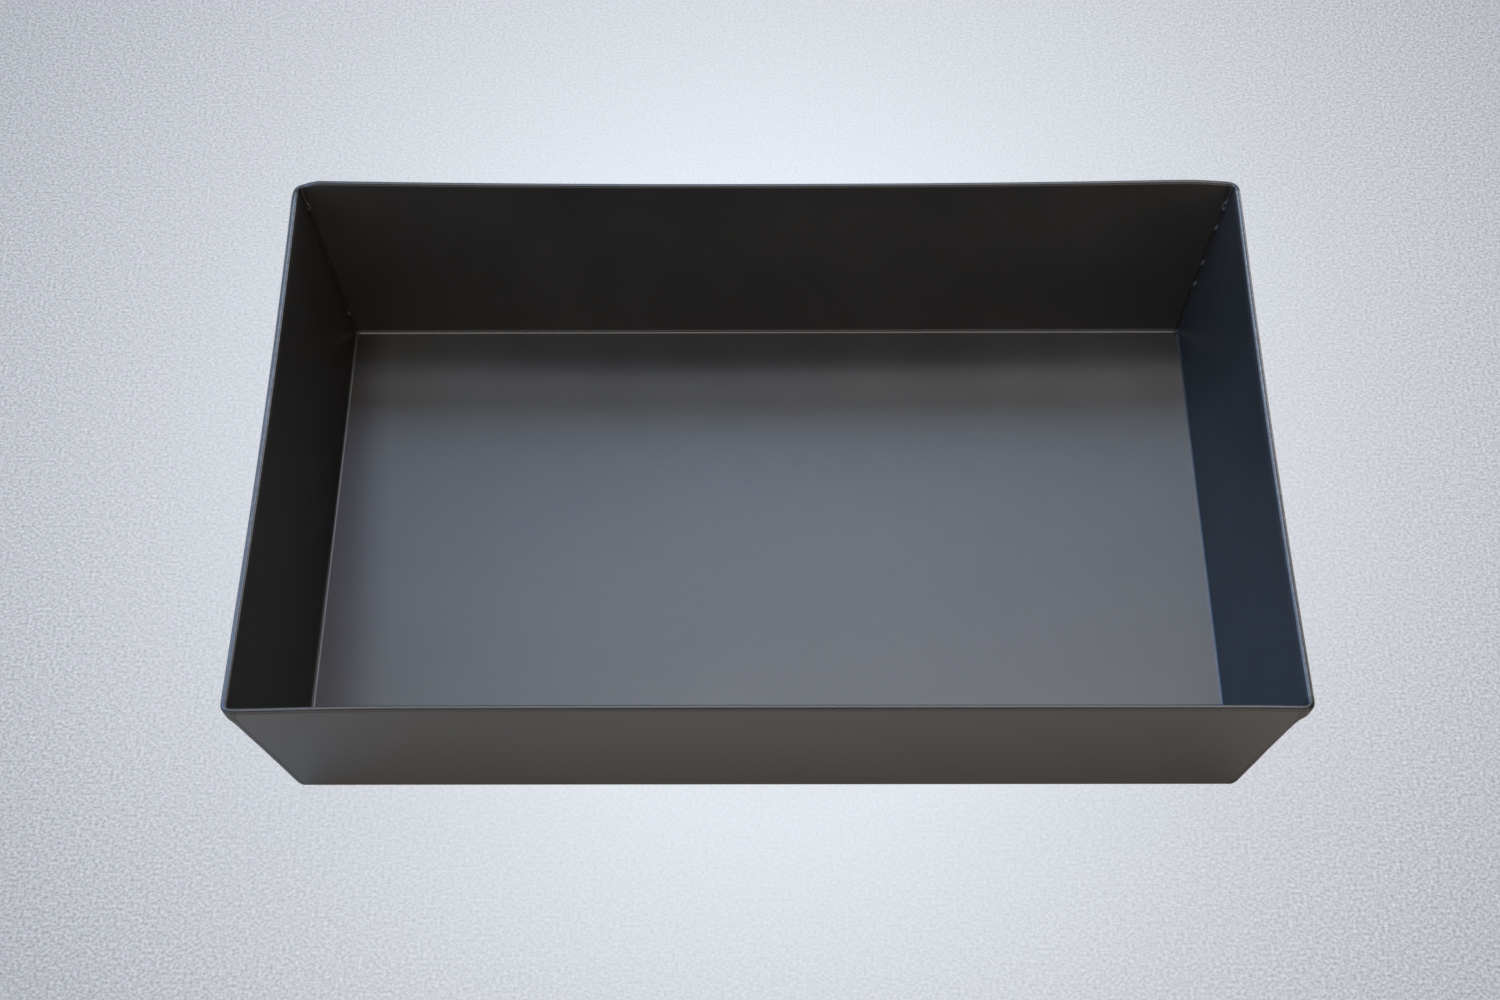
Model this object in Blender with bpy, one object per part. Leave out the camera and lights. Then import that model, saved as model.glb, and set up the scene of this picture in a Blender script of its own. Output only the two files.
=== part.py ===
"""Deep rectangular pizza pan: one folded aluminium blank, its four corners closed by welding.

The floor and the four walls are one sheet. The walls fold up from the floor with a tight
inside radius and flare outwards, and the rim is the sheet's own cut edge. The blank's corners
are cut away before folding, so that the wall ends stand apart at each corner. A seam weld
climbs each corner from the floor, and a heavier tack weld closes its top at the rim.

Metres, +Z up. The origin is at the middle of the underside, and X runs along the pan.
"""

import math

import bmesh
import bpy

# Driving dimensions of the pan
RIM_LENGTH = 0.3556  # over the outside of the rim, 14 in
RIM_WIDTH = 0.254  # over the outside of the rim, 10 in
PAN_HEIGHT = 0.0645  # from the underside to the inner edge of the rim
WALL_FLARE = math.radians(15.4)  # lean of each wall out from upright
SHEET = 0.0023  # 11 gauge
FOLD_RADIUS = 0.0014  # inside of the folds between the floor and the walls
EDGE_ROUND = 0.0003  # dressing of the sheet's cut edges

# Corner welds
WELD_REACH = 0.0010  # how far the seam runs into each wall from the inner corner
RIM_WELD_REACH = 0.0034  # the same for the tack at the rim, which is dressed rounder
WELD_GAP = 0.0003  # between the weld metal and whatever it touches
ROOT_FILLET = 0.0003  # how far the weld rounds off the inner corner
TACK_LENGTH = 0.012  # down the corner from the rim
TACK_INNER_SWELL = 0.0008  # bump of the tack inside the pan
TACK_OUTER_SWELL = 0.0011  # bulge of the tack outside the pan
TACK_SWELL_SPREAD = 0.0030  # how far either bulge reaches up and down the corner
ROOT_DROP = 0.0006  # height of the small bumps that the seam leaves inside
ROOT_DROP_SPREAD = 0.0016  # how far a bump reaches up and down the corner
WELD_STEP = 0.0015  # between sections of weld metal

# Places along the corner, as shares of its length down from the rim
TACK_SWELL_SHARE = 0.106
ROOT_DROP_SHARES = (0.296, 0.507, 0.669, 0.86)

# Faces on the rounded stretches
FOLD_STEPS = 6
INNER_WELD_STEPS = 3
OUTER_WELD_STEPS = 6
EDGE_SEGMENTS = 2
FLARE_STEPS = 8  # up a wall's end beside the tack

CORNERS = {
    "front_left": (-1, -1),
    "front_right": (1, -1),
    "back_left": (-1, 1),
    "back_right": (1, 1),
}

# The section of a wall: the fold turns from flat to the wall's lean, then the wall runs straight
FOLD_TURN = math.pi / 2 - WALL_FLARE
FOLD_LENGTH = FOLD_RADIUS * FOLD_TURN
FOLD_TOP = SHEET + FOLD_RADIUS * (1 - math.cos(FOLD_TURN))
WALL_LENGTH = (PAN_HEIGHT - FOLD_TOP) / math.cos(WALL_FLARE)
CORNER_LENGTH = FOLD_LENGTH + WALL_LENGTH
RIM_REACH = FOLD_RADIUS * math.sin(FOLD_TURN) + WALL_LENGTH * math.sin(WALL_FLARE)
FLOOR_HALF_LENGTH = RIM_LENGTH / 2 - SHEET * math.cos(WALL_FLARE) - RIM_REACH
FLOOR_HALF_WIDTH = RIM_WIDTH / 2 - SHEET * math.cos(WALL_FLARE) - RIM_REACH


def clear_scene():
    for obj in list(bpy.data.objects):
        bpy.data.objects.remove(obj, do_unlink=True)


def make_material(name, colour, roughness, metallic):
    material = bpy.data.materials.new(name)
    material.use_nodes = True
    shader = material.node_tree.nodes["Principled BSDF"]
    shader.inputs["Base Color"].default_value = (*colour, 1)
    shader.inputs["Roughness"].default_value = roughness
    shader.inputs["Metallic"].default_value = metallic
    material.diffuse_color = (*colour, 1)
    return material


def make_object(name, bm, material, sharp_angle):
    """A smooth-shaded mesh object that keeps its edges sharp past the given angle."""
    mesh = bpy.data.meshes.new(name)
    bm.to_mesh(mesh)
    bm.free()
    mesh.shade_smooth()
    mesh.set_sharp_from_angle(angle=sharp_angle)
    mesh.materials.append(material)
    obj = bpy.data.objects.new(name, mesh)
    bpy.context.collection.objects.link(obj)
    return obj


def wall_station(along):
    """The wall's section at a length measured up its inner face from the floor.

    Returns the inner point and the outer point, each as its distance out from the
    floor's edge and its height.
    """
    turn = min(along / FOLD_RADIUS, FOLD_TURN)
    straight = max(along - FOLD_LENGTH, 0)
    out = FOLD_RADIUS * math.sin(turn) + straight * math.cos(turn)
    up = SHEET + FOLD_RADIUS * (1 - math.cos(turn)) + straight * math.sin(turn)
    outer = (out + SHEET * math.sin(turn), up - SHEET * math.cos(turn))
    return (out, up), outer


def weld_reach(along):
    """How far the weld runs into each wall: even up the seam, then wider along the tack."""
    rise = max(1 - (CORNER_LENGTH - along) / TACK_LENGTH, 0)
    return WELD_REACH + (RIM_WELD_REACH - WELD_REACH) * rise**2


def fold_wall(bm, edge, corners_of):
    """Extrudes one edge of the floor up through the fold to the rim."""
    stations = [FOLD_LENGTH * i / FOLD_STEPS for i in range(1, FOLD_STEPS + 1)]
    flare = [CORNER_LENGTH - TACK_LENGTH * i / FLARE_STEPS for i in range(FLARE_STEPS, -1, -1)]
    for along in stations + flare:
        out, up = wall_station(along)[0]
        cut = weld_reach(along) + WELD_GAP
        grown = bmesh.ops.extrude_edge_only(bm, edges=[edge])["geom"]
        edge = next(part for part in grown if isinstance(part, bmesh.types.BMEdge))
        for vert in edge.verts:
            vert.co = corners_of(vert.co, out, up, cut)


def make_pan_sheet(material):
    """The floor with its corners cut off, and a wall folded up from each of its sides."""
    bm = bmesh.new()
    slant = WELD_REACH + WELD_GAP
    x, y = FLOOR_HALF_LENGTH, FLOOR_HALF_WIDTH
    outline = [
        (-x + slant, -y), (x - slant, -y), (x, -y + slant), (x, y - slant),
        (x - slant, y), (-x + slant, y), (-x, y - slant), (-x, -y + slant),
    ]
    verts = [bm.verts.new((u, v, SHEET)) for u, v in outline]
    floor = bm.faces.new(verts)

    def long_wall(point, out, up, cut):
        return (
            math.copysign(x + out - cut, point.x),
            math.copysign(y + out, point.y),
            up,
        )

    def end_wall(point, out, up, cut):
        return (
            math.copysign(x + out, point.x),
            math.copysign(y + out - cut, point.y),
            up,
        )

    for start, rule in ((0, long_wall), (2, end_wall), (4, long_wall), (6, end_wall)):
        fold_wall(bm, bm.edges.get((verts[start], verts[start + 1])), rule)
    bmesh.ops.recalc_face_normals(bm, faces=bm.faces)
    if floor.normal.z < 0:
        bmesh.ops.reverse_faces(bm, faces=bm.faces)
    obj = make_object("pan_sheet", bm, material, math.radians(30))
    solid = obj.modifiers.new("sheet thickness", "SOLIDIFY")
    solid.thickness = SHEET
    solid.offset = -1
    solid.use_even_offset = True
    solid.use_quality_normals = True
    dressing = obj.modifiers.new("dressed edges", "BEVEL")
    dressing.width = EDGE_ROUND
    dressing.segments = EDGE_SEGMENTS
    dressing.limit_method = "ANGLE"
    dressing.angle_limit = math.radians(60)
    return obj


def bump(along, centre, spread):
    """A smooth hump of height 1 at its centre, on a bell curve."""
    return math.exp(-(((along - centre) / spread) ** 2))


def inner_swell(along):
    """How far the weld metal stands into the pan from the rounded inner corner."""
    tack = CORNER_LENGTH * (1 - TACK_SWELL_SHARE)
    swell = TACK_INNER_SWELL * bump(along, tack, TACK_SWELL_SPREAD)
    for share in ROOT_DROP_SHARES:
        centre = CORNER_LENGTH * (1 - share)
        swell += ROOT_DROP * bump(along, centre, ROOT_DROP_SPREAD)
    return swell


def outer_swell(along):
    """How far the weld metal bulges out past the rounded outer corner."""
    tack = CORNER_LENGTH * (1 - TACK_SWELL_SHARE)
    return TACK_OUTER_SWELL * bump(along, tack, TACK_SWELL_SPREAD)


def weld_section(along):
    """A loop of points round the weld metal, as (out along X, out along Y, up).

    The inner side follows the two walls' inner faces into their corner, which the weld
    fills a little near the corner itself. The outer side is an arc round the same corner.
    Both are measured from the floor's corner.
    """
    (root, inner_up), (skin, outer_up) = wall_station(along)
    reach = weld_reach(along)
    centre = root - reach
    points = []
    for i in range(-INNER_WELD_STEPS, INNER_WELD_STEPS + 1):
        run = i / INNER_WELD_STEPS * reach
        near_corner = min(abs(run) / WELD_REACH, 1)
        fill = ROOT_FILLET + inner_swell(along)
        fill *= math.cos(near_corner * math.pi / 2) ** 2 / math.sqrt(2)
        x = root - max(-run, 0) - fill
        y = root - max(run, 0) - fill
        points.append((x, y, inner_up))
    for i in range(OUTER_WELD_STEPS + 1):
        angle = math.pi / 2 * i / OUTER_WELD_STEPS
        radius = skin - centre + outer_swell(along) * math.sin(2 * angle)
        x = centre + radius * math.cos(angle)
        y = centre + radius * math.sin(angle)
        points.append((x, y, outer_up))
    return points


def floor_section():
    """The weld's lowest loop, folded flat onto the slanted cut at the floor's corner."""
    points = []
    for i in range(-INNER_WELD_STEPS, INNER_WELD_STEPS + 1):
        share = (i / INNER_WELD_STEPS + 1) / 2
        points.append((-WELD_REACH * (1 - share), -WELD_REACH * share, SHEET))
    for i in range(OUTER_WELD_STEPS + 1):
        share = i / OUTER_WELD_STEPS
        points.append((-WELD_REACH * share, -WELD_REACH * (1 - share), 0))
    return points


def make_weld(name, sides, sections, material):
    """Weld metal lofted through its sections, at the corner that the two signs give."""
    bm = bmesh.new()
    loops = []
    for section in sections:
        loop = []
        for out_x, out_y, up in section:
            x = sides[0] * (FLOOR_HALF_LENGTH + out_x)
            y = sides[1] * (FLOOR_HALF_WIDTH + out_y)
            loop.append(bm.verts.new((x, y, up)))
        loops.append(loop)
    for low, high in zip(loops, loops[1:]):
        for i in range(len(low)):
            j = (i + 1) % len(low)
            bm.faces.new((low[i], low[j], high[j], high[i]))
    for loop in (loops[0], loops[-1]):
        cap = bm.faces.new(loop)
        bmesh.ops.triangulate(bm, faces=[cap])
    bmesh.ops.recalc_face_normals(bm, faces=bm.faces)
    return make_object(name, bm, material, math.radians(50))


def spaced(start, end):
    """Lengths up the corner from start to end, at most one weld step apart."""
    count = math.ceil((end - start) / WELD_STEP)
    return [start + (end - start) * i / count for i in range(count + 1)]


def make_corner(name, sides, seam_material, tack_material):
    """One corner's seam weld, up from the floor, and the tack weld over it at the rim."""
    tack_start = CORNER_LENGTH - TACK_LENGTH
    fold = [FOLD_LENGTH * i / FOLD_STEPS for i in range(FOLD_STEPS)]
    seam = [weld_section(along) for along in fold + spaced(FOLD_LENGTH, tack_start - WELD_GAP)]
    make_weld("seam_weld_" + name, sides, [floor_section()] + seam, seam_material)
    tack = [weld_section(along) for along in spaced(tack_start, CORNER_LENGTH)]
    make_weld("rim_tack_" + name, sides, tack, tack_material)


def main():
    clear_scene()
    sheet_material = make_material("anodised_sheet", (0.092, 0.087, 0.082), 0.40, 0.90)
    seam_material = make_material("anodised_seam", (0.082, 0.078, 0.073), 0.45, 0.90)
    tack_material = make_material("anodised_tack", (0.074, 0.070, 0.066), 0.45, 0.90)
    make_pan_sheet(sheet_material)
    for name, sides in CORNERS.items():
        make_corner(name, sides, seam_material, tack_material)


main()
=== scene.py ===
"""Looks of a deep rectangular pizza pan: one folded sheet of hard-anodised aluminium.

The floor and the four flared walls are one sheet, with rounded folds and a dressed cut rim.
Weld metal closes each corner: a seam that climbs from the floor, and a heavier tack at the
rim. Everything has the dark satin of a hard-anodised finish.
"""

import math

import bmesh
import bpy
import numpy as np
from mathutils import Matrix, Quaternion, Vector


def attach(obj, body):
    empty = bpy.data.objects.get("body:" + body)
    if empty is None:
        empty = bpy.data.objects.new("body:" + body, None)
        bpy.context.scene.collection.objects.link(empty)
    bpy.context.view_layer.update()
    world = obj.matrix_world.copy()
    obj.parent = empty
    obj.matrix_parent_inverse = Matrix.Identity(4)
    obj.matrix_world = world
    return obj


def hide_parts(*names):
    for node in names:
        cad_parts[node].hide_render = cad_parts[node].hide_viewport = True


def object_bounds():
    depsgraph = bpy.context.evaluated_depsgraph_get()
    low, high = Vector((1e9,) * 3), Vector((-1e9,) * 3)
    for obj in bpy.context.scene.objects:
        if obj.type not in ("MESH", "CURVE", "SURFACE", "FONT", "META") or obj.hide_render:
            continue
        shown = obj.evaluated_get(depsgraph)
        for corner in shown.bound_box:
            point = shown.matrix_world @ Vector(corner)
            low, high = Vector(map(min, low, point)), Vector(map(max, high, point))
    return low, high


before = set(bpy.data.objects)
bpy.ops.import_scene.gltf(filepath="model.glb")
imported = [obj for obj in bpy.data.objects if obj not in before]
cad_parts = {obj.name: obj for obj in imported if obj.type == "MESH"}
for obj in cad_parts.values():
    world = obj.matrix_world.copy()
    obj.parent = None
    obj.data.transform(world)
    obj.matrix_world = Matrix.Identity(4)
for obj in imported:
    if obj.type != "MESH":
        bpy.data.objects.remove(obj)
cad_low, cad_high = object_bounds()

# The pan's outside, from the frame
RIM_HALF_LENGTH = cad_high.x
RIM_HALF_WIDTH = cad_high.y
PAN_HEIGHT = cad_high.z

# The sheet and its folds, in metres
SHEET = 0.0023
WALL_FLARE = math.radians(15.4)
FOLD_RADIUS = 0.0014
EDGE_ROUND = 0.0011  # of the rim's two edges, which are dressed almost half round
SKIN = 0.00004  # the visible sheet stays this far inside the frame's outside

# The folded blank is never quite flat
FLOOR_CROWN = 0.00025  # rise of the floor's middle
FLOOR_WAVE = 0.00008  # height of the slow waves left by rolling and welding
WAVE_LENGTHS = (0.21, 0.13, 0.09, 0.07)  # of those slow waves
WAVE_SUM = 2.4  # brings their sum to between about -1 and 1
WALL_BOWS = {  # how far the middle of each rim leans in
    "front": 0.0001,
    "back": 0.0023,
    "left": 0.0011,
    "right": 0.0010,
}
WALL_WAVE = 0.00008
WALL_WAVE_SPAN = 0.17  # half of a wall's length, as its waves count it
CORNER_DROPS = {  # how far the rim stands lower at each corner, over what reach, how steeply
    "front_left": (0.0013, 0.030, 2),
    "front_right": (0.0004, 0.012, 2),
    "back_left": (0.0019, 0.0065, 4),
    "back_right": (0.0017, 0.012, 2),
}
RIM_SHEEN_AND_WEAR = {  # how much lighter each cut edge is, partly from wear and partly as a painted highlight: at its front or left end, and from its middle on
    "front": (0.0, 0.0),
    "back": (0.0, 0.05),
    "left": (0.05, 0.95),
    "right": (0.3, 1.2),
}
RIM_SHEEN_AND_WEAR_FADE = 0.0007  # the lightening fades this far down the wall from the rounded edge
# the tack's edges are lighter by this share, partly from wear and partly as a painted highlight
TACK_SHEEN_AND_WEAR = 0.4
FOLD_PAINTED_SHEEN = {  # how strong the painted highlight along each fold is inside
    "front": 0.0,
    "back": 0.2,
    "left": 0.0,
    "right": 0.6,
}
PAINTED_SHADE_REACH = 0.022  # painted shade: the floor is darkened this far from the left fold, where the left wall shades it
PAINTED_SHADE_NARROWING = 0.07  # metres of that reach lost for each metre toward the back
PAINTED_SHADE_TINT = (0.49, 0.43, 0.42, 1)  # what the painted shade does to the colour where it is darkest

# Corner welds
WELD_REACH = 0.0010  # how far the seam runs into each wall from the inner corner
RIM_WELD_REACH = 0.0034  # the same for the tack at the rim, which is dressed rounder
WELD_GAP = 0.0003  # between the weld metal and each wall's end
CORNER_CUT = WELD_REACH + WELD_GAP
ROOT_RADIUS = 0.0002  # of the inner corner along the seam
RIM_ROOT_RADIUS = 0.0014
OUTER_ARC_SHARE = 0.86  # of a weld's outside that its arc takes, between two flat ends
TACK_LENGTH = 0.012  # from the rim down the corner
TACK_BULGES = {  # how far each tack stands out past the corner
    "front_left": 0.0005,
    "front_right": 0.0007,
    "back_left": 0.0005,
    "back_right": 0.0006,
}
BULGE_TOP = 0.0010  # below the rim, where the bulge reaches its full height; at the rim it has half
BULGE_FOOT = 0.0110  # below the rim, where it ends
SEAM_HOLLOWS = {  # how far each seam is ground back just under its tack
    "front_left": 0.0,
    "front_right": 0.0008,
    "back_left": 0.0,
    "back_right": 0.0,
}
HOLLOW_DEPTH = 0.0160  # below the rim, where a hollow is deepest
TACK_CRATER = 0.0105  # below the rim, the middle of the ring that the tack leaves inside
RING_HEIGHT = 0.0012
RING_SPREADS = (0.0018, 0.0013)  # along the corner and across it
PIT_DEPTH = 0.0011  # of the pit in the ring
PIT_SPREADS = (0.0008, 0.0006)
PIT_OFFSET = 0.0004  # the pit lies this far above the ring's middle
ROOT_DROPS = {  # drops of weld inside each corner: share of its length down, and height
    "front_left": ((0.34, 0.0007), (0.58, 0.0006)),
    "front_right": ((0.28, 0.0008), (0.52, 0.0005), (0.76, 0.0006)),
    "back_left": ((0.87, 0.0005),),
    "back_right": ((0.31, 0.0009), (0.54, 0.0006), (0.68, 0.0008)),
}
DROP_SPREADS = (0.0011, 0.0006)  # along the corner and across it
DROP_LEAN = 0.0002  # a drop lies up to this far to either side of the corner
RIPPLE_PITCH = 0.0011
RIPPLE_HEIGHT = 0.00005
RIPPLE_CURVE = 0.0009  # the ends of a ripple trail this far behind its middle
RIPPLE_WANDER = 2  # radians that the ripples drift from an even pitch
RIPPLE_FADE = 4 * EDGE_ROUND  # the ripples reach their full height this far below the rim
LUMP_HEIGHT = 0.00006  # of the slow lumps along a weld
WANDER_ALONG = 12  # the slow waves are this many times shorter along a weld
WANDER_ACROSS = 0.05  # half of a weld's width, as those waves count it

# Fineness of the surfaces
FOLD_STEPS = 14
EDGE_STEPS = 8
WALL_ROWS = 26
LONG_COLUMNS = 90
END_COLUMNS = 64
SUPPORT = 0.00012  # narrow rows beside each fold keep the flats shaded flat
WELD_STEP = 0.0003
WELD_COLUMNS = 36
MERGE_STEP = 1e-7  # points that round to the same step become one
SHARP_FOLD = math.radians(40)  # edges that turn further than this are shaded sharp
SHARP_WELD = math.radians(50)

# Seeds of the random draws
FLOOR_SEED = 3
WALL_SEED = 10  # for the first wall, and one more for each wall after it
WELD_SEED = 100  # for the first corner, and one more for each corner after it
WANDER_SEED = 50  # added to a corner's own

CORNERS = {  # the side that each lies on, along X and along Y
    "front_left": (-1, -1),
    "front_right": (1, -1),
    "back_left": (-1, 1),
    "back_right": (1, 1),
}

# The wall's section
FOLD_TURN = math.pi / 2 - WALL_FLARE
FOLD_LENGTH = FOLD_RADIUS * FOLD_TURN
FOLD_TOP = SHEET + FOLD_RADIUS * (1 - math.cos(FOLD_TURN))
ROUND_LOSS = EDGE_ROUND * (math.cos(WALL_FLARE) + math.sin(WALL_FLARE) - 1)
WALL_LENGTH = (PAN_HEIGHT - SKIN + ROUND_LOSS - FOLD_TOP) / math.cos(WALL_FLARE)
CORNER_LENGTH = FOLD_LENGTH + WALL_LENGTH
RIM_REACH = FOLD_RADIUS * math.sin(FOLD_TURN) + WALL_LENGTH * math.sin(WALL_FLARE)
OUTSIDE = SHEET * math.cos(WALL_FLARE) + RIM_REACH - ROUND_LOSS + SKIN
FLOOR_HALF_LENGTH = RIM_HALF_LENGTH - OUTSIDE
FLOOR_HALF_WIDTH = RIM_HALF_WIDTH - OUTSIDE

# The camera's place in metres, and its lens and sensor in millimetres
CAMERA_PLACE = Vector((0.00015, -0.7817, 0.8922))
CAMERA_AIM = Vector((-0.0061, 0.0224, 0.0))
CAMERA_ROLL = math.radians(-0.423)
CAMERA_LENS = 78.12
SENSOR_WIDTH = 36

# The finish, with linear colours. A scale is the number of a noise's spots in a metre
SHEET_COLOUR = (0.092, 0.087, 0.082)
SEAM_COLOUR = (0.052, 0.050, 0.047)
TACK_COLOUR = (0.064, 0.061, 0.058)
SHEET_ROUGHNESS = 0.37
WELD_ROUGHNESS = 0.42
METALLIC = 0.92
SPECKLE_SCALE = 2600
MOTTLE_SCALE = 38
CLOUD_SCALE = 9
ROLLED_GRAIN_SCALES = (90, 3200, 1)  # the sheet's grain runs along the pan's length
WELD_GRAIN_SCALE = 1500
SHEEN_AND_WEAR_SCALE = 420
NOISE_SPAN = (0.3, 0.7)  # the values that a noise mostly stays between
CLOUD_SPAN = (0.35, 0.65)  # the same for the slow clouds
SPECKLE_TONE = 0.05  # how far the speckle swings the tone, as a share of it
MOTTLE_TONE = 0.02
GRAIN_TONE = 0.015
CLOUD_ROUGHNESS = 0.015  # how far the slow clouds swing the roughness
MOTTLE_ROUGHNESS = 0.012
SHEEN_AND_WEAR_SMOOTHER = 0.05  # loss of roughness where an edge or fold is fully lightened
SHEEN_AND_WEAR_PATCHES = (0.75, 0.25)  # the lightening of edges and folds comes in patches: its middle share and its swing
SPECKLE_RELIEF = 0.6  # the speckle's height, as a share of the grain's
RELIEF_HEIGHT = 0.00003
RELIEF_STRENGTH = 0.12

# The backdrop paper carries a painted pool of light: it fades from the pan outward in rings that
# get wider toward the back.
# Its colours are given as they show on screen, from 0 to 255
STUDIO_HALF_WIDTH = 12.0  # the paper covers the whole floor
PAPER_COLOUR = (230, 220, 206)
PAPER_ROUGHNESS = 0.9
BACKDROP_COLOURS = ((230, 236, 243), (204, 207, 214), (178, 181, 188))  # painted pool of light, from the pan outward
BACKDROP_SHIFT = (-0.0012, -0.0180, 0)  # sets the rings' middle a little toward the back
BACKDROP_SCALE = (1, 0.752, 1)  # stretches the rings from front to back
BACKDROP_WIDENING = 0.553  # share by which they grow for each metre toward the back
BACKDROP_FADE = (0.12, 0.33)  # from the rings' middle, where the fade starts and ends
BACKDROP_GRAIN = (0.21, 1.3)  # depth of the paper's grain by the pan and far from it
BACKDROP_GRAIN_SCALE = 860
BACKDROP_OWN_SHARE = 0.95  # of the paper's look that is its own colour and not its light
BACKDROP_MIRRORED_SHARE = 0.45  # the same where the pan mirrors the paper
SHADE_REACH = 0.030  # the mirrored paper lies in the pan's shade this far from its foot
SHADE_LEFT = 0.62  # of the mirrored light at the pan's foot
BACKDROP_MIRRORED_TINT = (1.12, 1.0, 0.88)  # the paper looks warmer in the pan's side

# Soft panels that all face the pan. An azimuth of 0 is straight behind it, 90 to its right
LAMP_DISTANCE = 2.2
LAMPS = {  # azimuth and elevation in degrees, size, colour and glow
    "strip_left": (-14, 59.8, (1.10, 0.17), (0.89, 1.0, 1.20), 3.9),
    "strip_right": (27, 59.8, (1.60, 0.17), (0.98, 1.0, 1.05), 10.4),
    "overhead": (0, 84, (2.97, 0.94), (1.00, 1.0, 1.00), 2.6),
    "back": (0, 35, (1.26, 0.98), (0.72, 1.0, 1.50), 2.4),
    "left_window": (-36, 32, (0.78, 0.94), (0.85, 1.0, 1.30), 0.7),
    "left_wall": (-78, 32, (1.96, 1.78), (0.57, 1.0, 1.77), 3.8),
    "right_low": (45, 12, (1.26, 0.62), (0.97, 1.0, 1.06), 3.2),
    "front_left": (-150, 20, (1.96, 1.10), (1.05, 1.0, 0.94), 1.42),
    "front_right": (150, 20, (1.96, 1.10), (1.12, 1.0, 0.87), 1.45),
}
ROOM_GLOW = 0.02


def section_point(along, depth):
    """A wall's section: distance out from the floor's edge, and height.

    Followed up its inner face, the sheet lies flat inside the floor's edge, turns through
    the fold on an arc, then runs straight up the wall's lean. The point lies depth into
    the sheet from there, square to the inner face.
    """
    turn = np.clip(along / FOLD_RADIUS, 0, FOLD_TURN)
    straight = np.maximum(along - FOLD_LENGTH, 0)
    out = np.minimum(along, 0) + FOLD_RADIUS * np.sin(turn) + straight * np.cos(turn)
    up = SHEET + FOLD_RADIUS * (1 - np.cos(turn)) + straight * np.sin(turn)
    return out + depth * np.sin(turn), up - depth * np.cos(turn)


def tack_rise(along):
    """0 up to the foot of the tack, then growing on a square curve to 1 at the rim."""
    return np.clip(1 - (CORNER_LENGTH - along) / TACK_LENGTH, 0, 1) ** 2


def corner_cut(along):
    """How far each wall ends short of the inner corner: even, then wider along the tack."""
    return CORNER_CUT + (RIM_WELD_REACH - WELD_REACH) * tack_rise(along)


def over_the_rim(face):
    """A way up the inner face, over the rounded rim and down the outer face.

    The face's stops are lengths up the wall, the last one where the rounding starts. The
    rim's two edges are quarter circles of EDGE_ROUND. Returns each stop's length up the
    wall and its depth into the sheet.
    """
    angle = np.linspace(0, np.pi / 2, EDGE_STEPS + 1)[1:]
    round_along = CORNER_LENGTH - EDGE_ROUND * (1 - np.sin(angle))
    round_depth = EDGE_ROUND * (1 - np.cos(angle))
    along = np.concatenate([face, round_along, round_along[::-1], face[::-1]])
    depth = np.concatenate([
        0 * face, round_depth, SHEET - round_depth[::-1], SHEET + 0 * face,
    ])
    return along, depth


def rim_wear(along):
    """1 on the rim's rounded edges, fading down the wall on a bell curve. There the rim is lighter,
    partly from wear and partly as a painted highlight.
    """
    below = np.clip((CORNER_LENGTH - EDGE_ROUND - along) / RIM_SHEEN_AND_WEAR_FADE, 0, None)
    return np.exp(-(below**2))


def fold_wear(along):
    """1 along the middle of a fold, and none on the flats beside it: where a painted highlight lies
    along the fold.
    """
    return np.sin(np.pi * np.clip(along / FOLD_LENGTH, 0, 1)) ** 2


def slow_waves(u, v, seed):
    """Sum of a few long sine waves in the two directions, between about -1 and 1."""
    draw = np.random.default_rng(seed)
    total = 0 * u
    for length in WAVE_LENGTHS:
        heading, phase = draw.uniform(0, 2 * np.pi, 2)
        across = u * np.cos(heading) + v * np.sin(heading)
        total = total + np.sin(2 * np.pi * across / length + phase) * length / WAVE_LENGTHS[0]
    return total / WAVE_SUM


def lower_corners(points):
    """Lowers the rim round each corner on a bell curve, and what lies under it less."""
    x, y, up = points[..., 0], points[..., 1], points[..., 2]
    lowered = up
    for name, (side_x, side_y) in CORNERS.items():
        drop, reach, steepness = CORNER_DROPS[name]
        away = np.hypot(x - side_x * RIM_HALF_LENGTH, y - side_y * RIM_HALF_WIDTH)
        share = np.exp(-((away / reach) ** steepness))
        lowered = lowered - drop * (up / PAN_HEIGHT) ** 3 * share
    return np.stack([x, y, lowered], axis=-1)


def floor_rise(x, y):
    """Height of the floor above flat: a low crown and slow waves, none at the folds."""
    share_x = np.clip(1 - (x / FLOOR_HALF_LENGTH) ** 2, 0, 1)
    share_y = np.clip(1 - (y / FLOOR_HALF_WIDTH) ** 2, 0, 1)
    window = (share_x * share_y) ** 2
    return window * (FLOOR_CROWN + FLOOR_WAVE * (1 + slow_waves(x, y, FLOOR_SEED)))


def wall_lean(name, share, along):
    """How far a wall leans in: a bow that is greatest at mid rim, and slow waves."""
    rise = np.clip(along / CORNER_LENGTH, 0, 1)
    window = (1 - share**2) * rise**1.5
    seed = WALL_SEED + list(WALL_BOWS).index(name)
    waves = WALL_WAVE * (1 + slow_waves(share * WALL_WAVE_SPAN, along, seed))
    return window * (WALL_BOWS[name] + waves)


def grid_faces(index):
    """Quads between neighbouring vertex numbers of a two-dimensional array."""
    corners = (index[:-1, :-1], index[1:, :-1], index[1:, 1:], index[:-1, 1:])
    return np.stack(corners, axis=-1).reshape(-1, 4).tolist()


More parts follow.
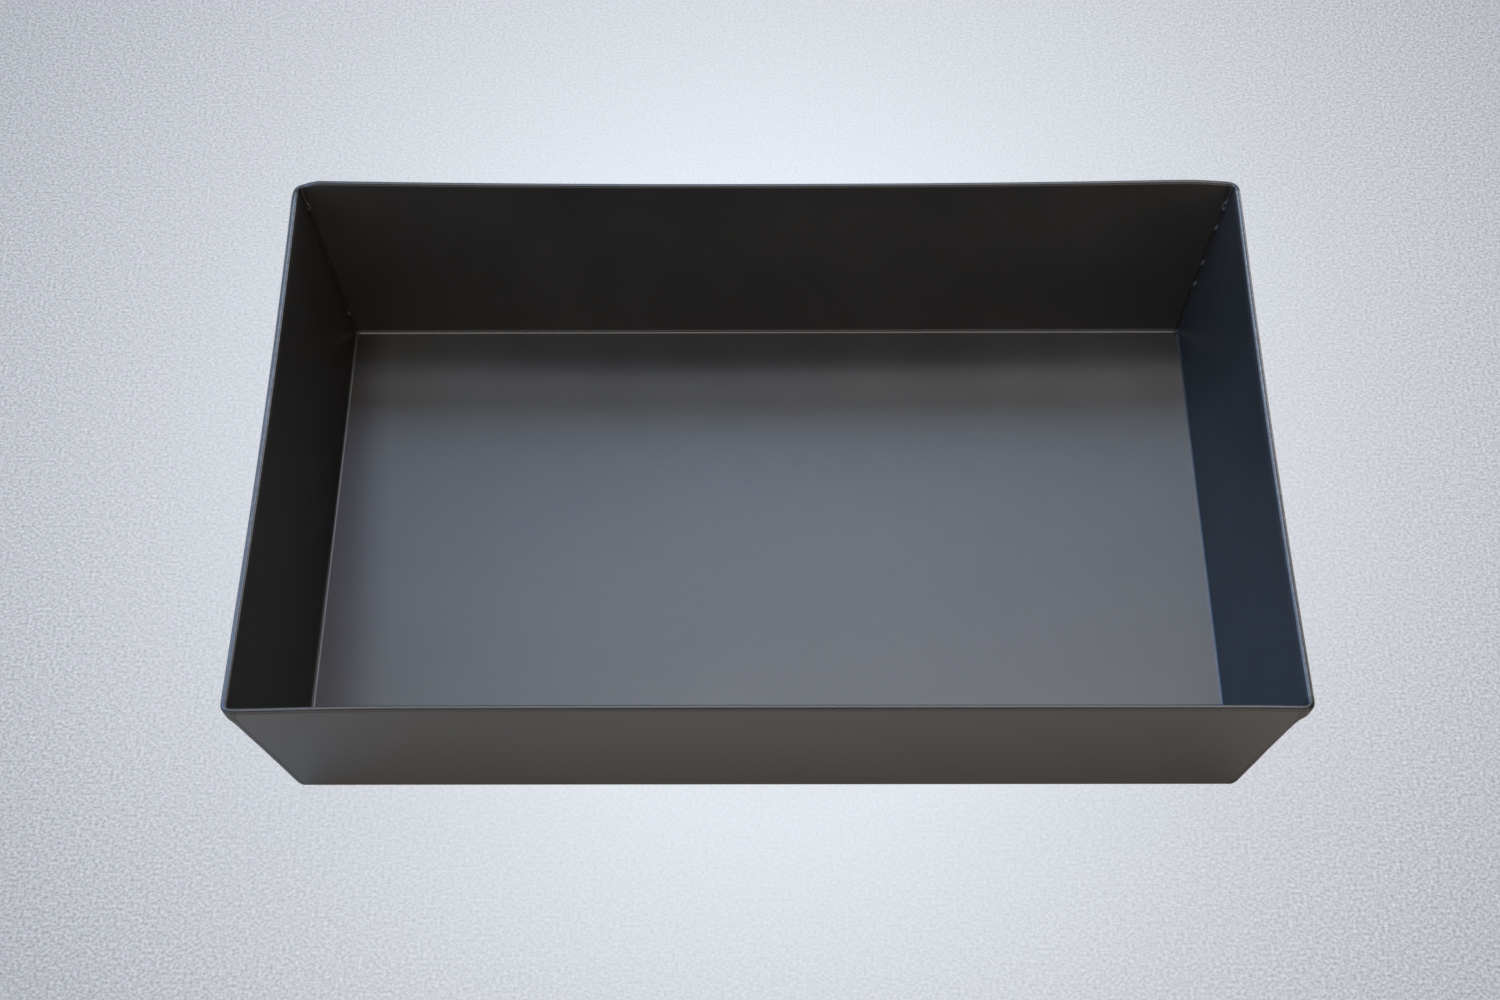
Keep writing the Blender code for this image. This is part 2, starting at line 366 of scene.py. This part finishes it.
class Shell:
    """Collects grids of points into one closed mesh.

    Each point also has its place on the flat blank, and a share of lightening, partly wear and
    partly painted highlight.
    """

    def __init__(self):
        self.points, self.places, self.wear, self.faces = [], [], [], []
        self.count = 0

    def add(self, points, places, wear):
        """Adds an array of points and returns their numbers in the same arrangement."""
        shape = points.shape[:-1]
        size = int(np.prod(shape))
        self.points.append(lower_corners(points).reshape(size, 3))
        self.places.append(places.reshape(size, 2))
        self.wear.append(np.broadcast_to(wear, shape).reshape(size))
        numbers = self.count + np.arange(size).reshape(shape)
        self.count += size
        return numbers

    def build(self, name, sharp_angle):
        """Joins coinciding points, turns the faces outward and makes the object."""
        points = np.concatenate(self.points)
        _, first, index = np.unique(
            np.round(points / MERGE_STEP), axis=0, return_index=True, return_inverse=True
        )
        index = index.reshape(-1)
        faces = []
        for face in self.faces:
            merged = list(dict.fromkeys(index[face].tolist()))
            if len(merged) > 2:
                faces.append(merged)
        mesh = bpy.data.meshes.new(name)
        mesh.from_pydata(points[first].tolist(), [], faces)
        turn_outward(mesh)
        mesh.shade_smooth()
        mesh.set_sharp_from_angle(angle=sharp_angle)
        place = np.concatenate(self.places)[first]
        wear = np.concatenate(self.wear)[first]
        corner = np.empty(len(mesh.loops), np.int32)
        mesh.loops.foreach_get("vertex_index", corner)
        blank = mesh.uv_layers.new(name="blank")
        blank.data.foreach_set("uv", place[corner].astype(np.float32).ravel())
        # share of lightening on edges and folds, partly wear and partly painted highlight
        sheen_and_wear_share = mesh.attributes.new("edge_wear", "FLOAT", "POINT")
        sheen_and_wear_share.data.foreach_set("value", wear.astype(np.float32))
        obj = bpy.data.objects.new(name, mesh)
        bpy.context.scene.collection.objects.link(obj)
        return obj


def turn_outward(mesh):
    """Turns the faces of a closed mesh outward."""
    bm = bmesh.new()
    bm.from_mesh(mesh)
    bmesh.ops.recalc_face_normals(bm, faces=bm.faces)
    bm.to_mesh(mesh)
    bm.free()


def wall_stops():
    """Lengths up a wall's inner face: floor side, fold and wall, up to the rounded rim."""
    fold = FOLD_LENGTH * np.linspace(0, 1, FOLD_STEPS + 1)
    last = CORNER_LENGTH - EDGE_ROUND
    wall = np.linspace(FOLD_LENGTH + SUPPORT, last - SUPPORT, WALL_ROWS)
    return np.concatenate([[-CORNER_CUT, -SUPPORT], fold, wall, [last]])


def add_wall(shell, name, along_x, side, share):
    """A wall as a grid of stops round its section and shares of its length.

    Its length grows with its height, because the two walls beside it flare too. Each end
    gets flat faces across the sheet, where the weld takes over.
    """
    face = wall_stops()
    along, depth = over_the_rim(face)
    along, depth, share = along[:, None], depth[:, None], share[None, :]
    half_run = FLOOR_HALF_LENGTH if along_x else FLOOR_HALF_WIDTH
    half_floor = FLOOR_HALF_WIDTH if along_x else FLOOR_HALF_LENGTH
    root = np.maximum(section_point(along, 0)[0], 0)
    across = share * (half_run + root - corner_cut(along))
    out, up = section_point(along, depth)
    out = out - wall_lean(name, share, along)
    out, up = out + 0 * across, up + 0 * across
    outward = side * (half_floor + out)
    x, y = (across, outward) if along_x else (outward, across)
    flat = np.where(np.broadcast_to(along, out.shape) <= 0, floor_rise(x, y), 0)
    points = np.stack([x, y, up + flat], axis=-1)
    unfolded = side * (half_floor + np.broadcast_to(along, out.shape))
    places = [across, unfolded] if along_x else [unfolded, across]
    # the rim's edges are lighter, partly from wear and partly as a painted highlight, and each fold
    # carries a painted highlight
    start, end = RIM_SHEEN_AND_WEAR[name]
    rim_sheen_and_wear_share = start + (end - start) * np.minimum(share + 1, 1)
    wear = rim_sheen_and_wear_share * rim_wear(along) + FOLD_PAINTED_SHEEN[name] * fold_wear(along)
    numbers = shell.add(points, np.stack(places, axis=-1), wear)
    shell.faces += grid_faces(numbers)
    rows = len(face)
    for column in (0, -1):
        edge = numbers[:, column]
        inner, outer = edge[2:rows], edge[::-1][2:rows]
        shell.faces += grid_faces(np.stack([inner, outer]))
        shell.faces.append(edge[rows - 1 : len(edge) - rows + 1].tolist())


def add_floor(shell, share_x, share_y):
    """The floor's middle on both faces, and its four corners cut off slantwise."""
    reach_x = FLOOR_HALF_LENGTH - CORNER_CUT
    reach_y = FLOOR_HALF_WIDTH - CORNER_CUT
    x, y = np.meshgrid(share_x * reach_x, share_y * reach_y, indexing="ij")
    places = np.stack([x, y], axis=-1)
    for level in (SHEET, 0):
        points = np.stack([x, y, level + floor_rise(x, y)], axis=-1)
        shell.faces += grid_faces(shell.add(points, places, 0))
    for side_x, side_y in CORNERS.values():
        rings = []
        for level in (SHEET, 0):
            corner = np.array([
                (reach_x, reach_y),
                (FLOOR_HALF_LENGTH - SUPPORT, reach_y),
                (FLOOR_HALF_LENGTH, reach_y),
                (reach_x, FLOOR_HALF_WIDTH),
                (reach_x, FLOOR_HALF_WIDTH - SUPPORT),
            ]) * (side_x, side_y)
            rise = level + floor_rise(corner[:, 0], corner[:, 1])
            rings.append(shell.add(np.column_stack([corner, rise]), corner, 0))
            shell.faces.append(rings[-1].tolist())
        top, bottom = rings
        shell.faces.append([top[2], top[3], bottom[3], bottom[2]])


def make_folded_sheet():
    """The floor and the four walls as one closed sheet."""
    shell = Shell()
    share_x = np.linspace(-1, 1, LONG_COLUMNS + 1)
    share_y = np.linspace(-1, 1, END_COLUMNS + 1)
    add_floor(shell, share_x, share_y)
    add_wall(shell, "front", True, -1, share_x)
    add_wall(shell, "back", True, 1, share_x)
    add_wall(shell, "left", False, -1, share_y)
    add_wall(shell, "right", False, 1, share_y)
    return shell.build("folded_sheet", SHARP_FOLD)


def bell(along, centre, spread):
    """A smooth hump of height 1 at its centre."""
    return np.exp(-(((along - centre) / spread) ** 2))


def smooth(rise):
    """A smooth step from 0 to 1 as rise goes from 0 to 1."""
    rise = np.clip(rise, 0, 1)
    return rise**2 * (3 - 2 * rise)


def round_then_straight(share, arc_share):
    """Angle round a corner's middle arc, and share of the straight run past either end."""
    angle = math.pi / 4 * (1 - np.clip(share / arc_share, -1, 1))
    run = np.clip((np.abs(share) - arc_share) / (1 - arc_share), 0, 1)
    return angle, run


def corner_path(share, along, depth, swell_in, swell_out):
    """Weld metal round a corner, as (out along X, out along Y, up) from the floor's corner.

    Inside, the path runs along one wall, round a small arc and along the other. Outside,
    it runs round a wider arc about a point inside the inner corner. A point at some depth
    lies that share of the way from the inner path to the outer one. The inward swell
    pushes the inner path away from the corner, and the outward one widens the arc.
    """
    root = section_point(along, 0)[0]
    skin = section_point(along, SHEET)[0]
    up = section_point(along, depth)[1]
    cut = corner_cut(along)
    radius = ROOT_RADIUS + (RIM_ROOT_RADIUS - ROOT_RADIUS) * tack_rise(along)
    inner_arc = radius * math.pi / 4
    inner_share = inner_arc / (cut - radius + inner_arc)
    angle, run = round_then_straight(share, inner_share)
    run = run * (cut - radius)
    fill = swell_in / math.sqrt(2)
    inner_x = root - radius * (1 - np.cos(angle)) - np.where(share < 0, run, 0) - fill
    inner_y = root - radius * (1 - np.sin(angle)) - np.where(share > 0, run, 0) - fill
    angle, run = round_then_straight(share, OUTER_ARC_SHARE)
    run = run * WELD_GAP
    centre = root - cut + WELD_GAP
    radius = skin - centre + swell_out
    outer_x = centre + radius * np.cos(angle) - np.where(share < 0, run, 0)
    outer_y = centre + radius * np.sin(angle) - np.where(share > 0, run, 0)
    mix = depth / SHEET
    x = inner_x + (outer_x - inner_x) * mix
    y = inner_y + (outer_y - inner_y) * mix
    return x, y, up + 0 * x


def inner_marks(name, along, across, seed):
    """Height of what a weld leaves inside: the tack's ring with its pit, and small drops."""
    crater = CORNER_LENGTH - TACK_CRATER
    ring = bell(along, crater, RING_SPREADS[0]) * bell(across, 0, RING_SPREADS[1])
    pit = bell(along, crater + PIT_OFFSET, PIT_SPREADS[0]) * bell(across, 0, PIT_SPREADS[1])
    marks = RING_HEIGHT * ring - PIT_DEPTH * pit
    draw = np.random.default_rng(seed)
    for place, height in ROOT_DROPS[name]:
        centre = CORNER_LENGTH * (1 - place)
        lean = draw.uniform(-DROP_LEAN, DROP_LEAN)
        drop = height * bell(along, centre, DROP_SPREADS[0])
        marks = marks + drop * bell(across, lean, DROP_SPREADS[1])
    return marks


def outer_bulge(name, along):
    """How far a corner stands outward: the tack's bulge, less the hollow under it."""
    down = CORNER_LENGTH - along
    swell = smooth((BULGE_FOOT - down) / (BULGE_FOOT / 2))
    swell = swell * (1 - smooth(1 - down / BULGE_TOP) / 2)
    hollow = smooth(along / (CORNER_LENGTH - HOLLOW_DEPTH)) * smooth(down / HOLLOW_DEPTH)
    return TACK_BULGES[name] * swell - SEAM_HOLLOWS[name] * hollow


def bead_relief(share, along, seed):
    """Heights of a bead's ripples and of its slow lumps, which start at its lower end."""
    wander = slow_waves(along * WANDER_ALONG, share * WANDER_ACROSS, seed + WANDER_SEED)
    phase = 2 * np.pi * (along + RIPPLE_CURVE * share**2) / RIPPLE_PITCH
    bead = np.cos(phase + RIPPLE_WANDER * wander)
    low = np.clip(along / FOLD_LENGTH, 0, 1)
    high = np.clip((CORNER_LENGTH - along) / RIPPLE_FADE, 0, 1)
    return RIPPLE_HEIGHT * bead * low * high, LUMP_HEIGHT * wander * low


def weld_swells(name, share, along, seed):
    """How far the weld metal stands inward and outward of the plain rounded corner."""
    inward = inner_marks(name, along, share * corner_cut(along), seed)
    ripple, lumps = bead_relief(share, along, seed)
    window = 1 - share**2
    inner = window**2 * (inward + ripple / 2 + lumps)
    outer = window**3 * outer_bulge(name, along) + window**2 * (ripple + lumps)
    return inner, outer


def place_corner(sides, x, y, up):
    """Moves a corner's points to the corner of the pan that the two signs name."""
    return np.stack(
        [sides[0] * (FLOOR_HALF_LENGTH + x), sides[1] * (FLOOR_HALF_WIDTH + y), up], axis=-1
    )


def add_weld(shell, name, along, depth, seed, lowest=False):
    """Carries a section of weld metal round the corner and closes its two ends."""
    share = np.linspace(-1, 1, WELD_COLUMNS + 1)[None, :]
    along, depth = along[:, None], depth[:, None]
    swell_in, swell_out = weld_swells(name, share, along, seed)
    x, y, up = corner_path(share, along, depth, swell_in, swell_out)
    if lowest:
        line = (share + 1) / 2
        x[[0, -1]] = -CORNER_CUT * (1 - line)
        y[[0, -1]] = -CORNER_CUT * line
        up[0], up[-1] = SHEET, 0
    points = place_corner(CORNERS[name], x, y, up)
    places = np.stack([points[..., 0], along + 0 * x], axis=-1)
    # the tack's rounded edges are lighter, partly from wear and partly as a painted highlight
    numbers = shell.add(points, places, TACK_SHEEN_AND_WEAR * rim_wear(along))
    looped = np.concatenate([numbers, numbers[:1]])
    shell.faces += grid_faces(looped)
    for column in (0, -1):
        shell.faces.append(numbers[:, column].tolist())


def spaced(start, end):
    """Lengths up the corner from start to end, at most one weld step apart."""
    return np.linspace(start, end, math.ceil((end - start) / WELD_STEP) + 1)


def make_corner(name, seed):
    """One corner's seam weld up from the floor, and the tack weld over it at the rim."""
    tack_start = CORNER_LENGTH - TACK_LENGTH
    fold = FOLD_LENGTH * np.linspace(0, 1, FOLD_STEPS + 1)
    face = np.concatenate([[0], fold, spaced(FOLD_LENGTH, tack_start)[1:]])
    along = np.concatenate([face, face[::-1]])
    depth = np.concatenate([0 * face, 0 * face + SHEET])
    seam = Shell()
    add_weld(seam, name, along, depth, seed, lowest=True)
    tack = Shell()
    face = spaced(tack_start, CORNER_LENGTH - EDGE_ROUND)
    add_weld(tack, name, *over_the_rim(face), seed)
    return (
        seam.build("corner_seam_" + name, SHARP_WELD),
        tack.build("corner_tack_" + name, SHARP_WELD),
    )


def add_node(tree, kind, inputs=None, **settings):
    """Adds a node, sets its properties, and sets or links its inputs."""
    node = tree.nodes.new(kind)
    for key, value in settings.items():
        setattr(node, key, value)
    for key, value in (inputs or {}).items():
        if isinstance(value, bpy.types.NodeSocket):
            tree.links.new(value, node.inputs[key])
        else:
            node.inputs[key].default_value = value
    return node


def maths(tree, operation, a, b=0.0):
    """One step of arithmetic on two values."""
    return add_node(tree, "ShaderNodeMath", {0: a, 1: b}, operation=operation).outputs[0]


def added(tree, total, *others):
    """The sum of some values."""
    for other in others:
        total = maths(tree, "ADD", total, other)
    return total


def mix_colour(tree, factor, a, b):
    """The first colour where the factor is 0, and the second where it is 1."""
    node = add_node(tree, "ShaderNodeMix", {0: factor, 6: a, 7: b}, data_type="RGBA")
    return node.outputs[2]


def scaled(tree, colour, amount):
    """A colour times a number."""
    node = add_node(
        tree, "ShaderNodeVectorMath", {0: colour, "Scale": amount}, operation="SCALE"
    )
    return node.outputs[0]


def tinted(tree, colour, tint):
    """A colour times another one."""
    node = add_node(tree, "ShaderNodeVectorMath", {0: colour, 1: tint}, operation="MULTIPLY")
    return node.outputs[0]


def ranged(tree, value, low, high, to_low, to_high):
    """Maps a value's range onto another one, smoothly and without going past it."""
    node = add_node(
        tree,
        "ShaderNodeMapRange",
        {"Value": value, "From Min": low, "From Max": high, "To Min": to_low, "To Max": to_high},
        interpolation_type="SMOOTHSTEP",
    )
    return node.outputs["Result"]


def swing(tree, value, middle, reach, span=NOISE_SPAN):
    """Turns a noise into a value that swings by reach to either side of middle."""
    return ranged(tree, value, *span, middle - reach, middle + reach)


def noise(tree, vector, scale, detail=2.0, stretch=(1, 1, 1)):
    """A soft random pattern with about scale spots in a metre."""
    mapped = add_node(
        tree, "ShaderNodeMapping", {"Vector": vector, "Scale": [scale * s for s in stretch]}
    )
    node = add_node(
        tree,
        "ShaderNodeTexNoise",
        {"Vector": mapped.outputs[0], "Scale": 1.0, "Detail": detail},
        noise_dimensions="3D",
    )
    return node.outputs["Fac"]


def new_material(name):
    """A material, its node tree and its shader."""
    material = bpy.data.materials.new(name)
    material.use_nodes = True
    return material, material.node_tree, material.node_tree.nodes["Principled BSDF"]


def painted_fold_shade(tree, blank):
    """Tint of painted shade on the floor, darkest at the left fold and fading off it."""
    place = add_node(tree, "ShaderNodeSeparateXYZ", {"Vector": blank}).outputs
    away = maths(tree, "ADD", place["X"], FLOOR_HALF_LENGTH)
    narrower = maths(tree, "MULTIPLY", place["Y"], PAINTED_SHADE_NARROWING)
    reach = maths(tree, "SUBTRACT", PAINTED_SHADE_REACH, narrower)
    unshaded = ranged(tree, maths(tree, "DIVIDE", away, reach), 0.0, 1.0, 0.0, 1.0)
    aside = maths(tree, "GREATER_THAN", maths(tree, "ABSOLUTE", place["Y"]), FLOOR_HALF_WIDTH)
    off_floor = maths(tree, "MAXIMUM", maths(tree, "LESS_THAN", away, 0.0), aside)
    return mix_colour(tree, maths(tree, "MAXIMUM", unshaded, off_floor), PAINTED_SHADE_TINT, (1, 1, 1, 1))


def surface_patterns(tree, spot, blank, rolled):
    """The finish's patterns: speckle, mottling, slow clouds, and a rolled or a plain grain."""
    speckle = noise(tree, spot, SPECKLE_SCALE, detail=1.0)
    mottle = noise(tree, spot, MOTTLE_SCALE, detail=3.0)
    cloud = noise(tree, spot, CLOUD_SCALE)
    if rolled:
        grain = noise(tree, blank, 1.0, detail=3.0, stretch=ROLLED_GRAIN_SCALES)
    else:
        grain = noise(tree, spot, WELD_GRAIN_SCALE, detail=3.0)
    return speckle, mottle, cloud, grain


def add_relief(tree, shader, speckle, grain):
    """A fine relief that follows the speckle and the grain."""
    height = added(tree, maths(tree, "MULTIPLY", speckle, SPECKLE_RELIEF), grain)
    bump = add_node(
        tree, "ShaderNodeBump",
        {"Height": height, "Strength": RELIEF_STRENGTH, "Distance": RELIEF_HEIGHT},
    )
    tree.links.new(bump.outputs[0], shader.inputs["Normal"])


def anodised_finish(name, colour, roughness, rolled):
    """Hard-anodised satin: fine speckle, slow mottling, grain, and lighter edges and folds, partly
    from wear and partly as painted highlight.
    """
    material, tree, shader = new_material(name)
    spot = add_node(tree, "ShaderNodeTexCoord").outputs["Object"]
    blank = add_node(tree, "ShaderNodeUVMap", uv_map="blank").outputs[0]
    sheen_and_wear_share = add_node(tree, "ShaderNodeAttribute", attribute_name="edge_wear").outputs["Fac"]
    speckle, mottle, cloud, grain = surface_patterns(tree, spot, blank, rolled)
    # edges and folds made lighter, partly from wear and partly as a painted highlight
    patches = swing(tree, noise(tree, spot, SHEEN_AND_WEAR_SCALE), *SHEEN_AND_WEAR_PATCHES)
    edge = maths(tree, "MULTIPLY", sheen_and_wear_share, patches)
    tone = added(
        tree,
        swing(tree, speckle, 1.0, SPECKLE_TONE),
        swing(tree, mottle, 0.0, MOTTLE_TONE),
        swing(tree, grain, 0.0, GRAIN_TONE),
        edge,
    )
    shown = scaled(tree, colour, tone)
    if rolled:
        # painted shade on the floor beside the left fold, where the left wall shades it
        shown = tinted(tree, shown, painted_fold_shade(tree, blank))
    tree.links.new(shown, shader.inputs["Base Color"])
    rough = added(
        tree,
        swing(tree, cloud, roughness, CLOUD_ROUGHNESS, CLOUD_SPAN),
        swing(tree, mottle, 0.0, MOTTLE_ROUGHNESS),
    )
    rough = maths(tree, "SUBTRACT", rough, maths(tree, "MULTIPLY", edge, SHEEN_AND_WEAR_SMOOTHER))
    tree.links.new(rough, shader.inputs["Roughness"])
    shader.inputs["Metallic"].default_value = METALLIC
    add_relief(tree, shader, speckle, grain)
    return material


def paint(red, green, blue):
    """A colour as it shows on screen, from 0 to 255, made linear by the sRGB curve."""
    shown = np.array((red, green, blue)) / 255
    linear = np.where(shown <= 0.04045, shown / 12.92, ((shown + 0.055) / 1.055) ** 2.4)
    return (*linear.tolist(), 1)


def shade_beside_pan(tree, spot):
    """Share of light on the paper: SHADE_LEFT at the pan's foot, rising to 1 away from it."""
    place = add_node(tree, "ShaderNodeSeparateXYZ", {"Vector": spot}).outputs
    beside_x = maths(tree, "SUBTRACT", maths(tree, "ABSOLUTE", place["X"]), FLOOR_HALF_LENGTH)
    beside_y = maths(tree, "SUBTRACT", maths(tree, "ABSOLUTE", place["Y"]), FLOOR_HALF_WIDTH)
    beside = maths(tree, "MAXIMUM", beside_x, beside_y)
    return ranged(tree, beside, 0.0, SHADE_REACH, SHADE_LEFT, 1.0)


def backdrop_colour(tree, spot):
    """Pale grey-blue in rings of painted light that darken outward, with a grain that deepens
    outward too.
    """
    centred = add_node(
        tree, "ShaderNodeMapping",
        {"Vector": spot, "Location": BACKDROP_SHIFT, "Scale": BACKDROP_SCALE},
    ).outputs[0]
    away = add_node(tree, "ShaderNodeVectorMath", {0: centred}, operation="LENGTH")
    back = add_node(tree, "ShaderNodeSeparateXYZ", {"Vector": spot}).outputs["Y"]
    wider = maths(tree, "ADD", maths(tree, "MULTIPLY", back, BACKDROP_WIDENING), 1.0)
    away = maths(tree, "DIVIDE", away.outputs["Value"], wider)
    near, far = BACKDROP_FADE
    faded = add_node(tree, "ShaderNodeMapRange", {"Value": away, "From Min": near, "From Max": far})
    ramp = add_node(tree, "ShaderNodeValToRGB", {"Fac": faded.outputs[0]})
    stops = ramp.color_ramp.elements
    by_pan, between, far_off = [paint(*colour) for colour in BACKDROP_COLOURS]
    stops[0].color, stops[1].color = by_pan, far_off
    stops.new(0.5).color = between
    grain = noise(tree, spot, BACKDROP_GRAIN_SCALE, detail=1.0)
    depth = ranged(tree, away, near, far, *BACKDROP_GRAIN)
    grain = maths(tree, "MULTIPLY", maths(tree, "SUBTRACT", grain, 0.5), depth)
    return scaled(tree, ramp.outputs[0], maths(tree, "ADD", grain, 1.0))


def backdrop_finish():
    """Paper that shows mostly its own colour, and in part the light and shade on it."""
    material, tree, shader = new_material("backdrop_paper")
    spot = add_node(tree, "ShaderNodeTexCoord").outputs["Object"]
    grainy = backdrop_colour(tree, spot)
    shader.inputs["Base Color"].default_value = paint(*PAPER_COLOUR)
    shader.inputs["Roughness"].default_value = PAPER_ROUGHNESS
    shader.inputs["Specular IOR Level"].default_value = 0.0
    ray = add_node(tree, "ShaderNodeLightPath").outputs
    mirrored = maths(tree, "MAXIMUM", ray["Is Glossy Ray"], ray["Is Transmission Ray"])
    warm = tinted(tree, grainy, BACKDROP_MIRRORED_TINT)
    shown = mix_colour(tree, mirrored, grainy, warm)
    glow = add_node(tree, "ShaderNodeEmission", {"Color": shown, "Strength": 1.0})
    mirrored = maths(tree, "MULTIPLY", mirrored, BACKDROP_MIRRORED_SHARE)
    mirrored = maths(tree, "MULTIPLY", mirrored, shade_beside_pan(tree, spot))
    direct = maths(tree, "MULTIPLY", ray["Is Camera Ray"], BACKDROP_OWN_SHARE)
    seen = maths(tree, "MAXIMUM", direct, mirrored)
    both = add_node(
        tree, "ShaderNodeMixShader", {0: seen, 1: shader.outputs[0], 2: glow.outputs[0]}
    )
    output = tree.nodes["Material Output"]
    tree.links.new(both.outputs[0], output.inputs["Surface"])
    return material


def make_floor():
    """A wide plain floor under the pan."""
    half = STUDIO_HALF_WIDTH
    mesh = bpy.data.meshes.new("studio_floor")
    corners = [(-half, -half, 0), (half, -half, 0), (half, half, 0), (-half, half, 0)]
    mesh.from_pydata(corners, [], [(0, 1, 2, 3)])
    floor = bpy.data.objects.new("studio_floor", mesh)
    mesh.materials.append(backdrop_finish())
    bpy.context.scene.collection.objects.link(floor)


def make_camera():
    """The photograph's view: a long lens from in front, looking down at the pan."""
    data = bpy.data.cameras.new("camera")
    data.sensor_fit = "HORIZONTAL"
    data.sensor_width = SENSOR_WIDTH
    data.lens = CAMERA_LENS
    camera = bpy.data.objects.new("camera", data)
    camera.location = CAMERA_PLACE
    camera.rotation_mode = "QUATERNION"
    aim = (CAMERA_AIM - CAMERA_PLACE).to_track_quat("-Z", "Y")
    camera.rotation_quaternion = aim @ Quaternion((0, 0, 1), CAMERA_ROLL)
    bpy.context.scene.collection.objects.link(camera)
    bpy.context.scene.camera = camera


def add_lamp(name, azimuth, elevation, size, colour, glow):
    """A soft panel that faces the pan from some way round it and up."""
    turn, rise = math.radians(azimuth), math.radians(elevation)
    heading = Vector((
        math.sin(turn) * math.cos(rise), math.cos(turn) * math.cos(rise), math.sin(rise),
    ))
    data = bpy.data.lights.new(name, "AREA")
    data.shape = "RECTANGLE"
    data.size, data.size_y = size
    data.color = colour
    data.energy = glow * math.pi * size[0] * size[1]
    lamp = bpy.data.objects.new(name, data)
    lamp.location = heading * LAMP_DISTANCE
    lamp.rotation_mode = "QUATERNION"
    lamp.rotation_quaternion = heading.to_track_quat("Z", "Y")
    lamp.visible_camera = False
    bpy.context.scene.collection.objects.link(lamp)


def light_studio():
    """Bright strips high behind, daylight from the left, less from the right and in front."""
    for name, (azimuth, elevation, size, colour, glow) in LAMPS.items():
        add_lamp(name, azimuth, elevation, size, colour, glow)
    world = bpy.data.worlds.new("room")
    world.use_nodes = True
    world.node_tree.nodes["Background"].inputs[1].default_value = ROOM_GLOW
    bpy.context.scene.world = world


def main():
    """Makes the pan's pieces with their finishes, and the studio round them."""
    sheet_finish = anodised_finish("anodised_sheet", SHEET_COLOUR, SHEET_ROUGHNESS, True)
    seam_finish = anodised_finish("anodised_seam", SEAM_COLOUR, WELD_ROUGHNESS, False)
    tack_finish = anodised_finish("anodised_tack", TACK_COLOUR, WELD_ROUGHNESS, False)
    sheet = make_folded_sheet()
    pieces = [(sheet, "pan_sheet", "anodised_sheet", sheet_finish)]
    for number, name in enumerate(CORNERS):
        seam, tack = make_corner(name, WELD_SEED + number)
        pieces.append((seam, "seam_weld_" + name, "anodised_seam", seam_finish))
        pieces.append((tack, "rim_tack_" + name, "anodised_tack", tack_finish))
    for piece, node, slot, finish in pieces:
        piece.data.materials.append(finish)
        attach(piece, "root")
        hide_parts(node)
    make_floor()
    make_camera()
    light_studio()
    bpy.context.scene.view_settings.view_transform = "Standard"


main()
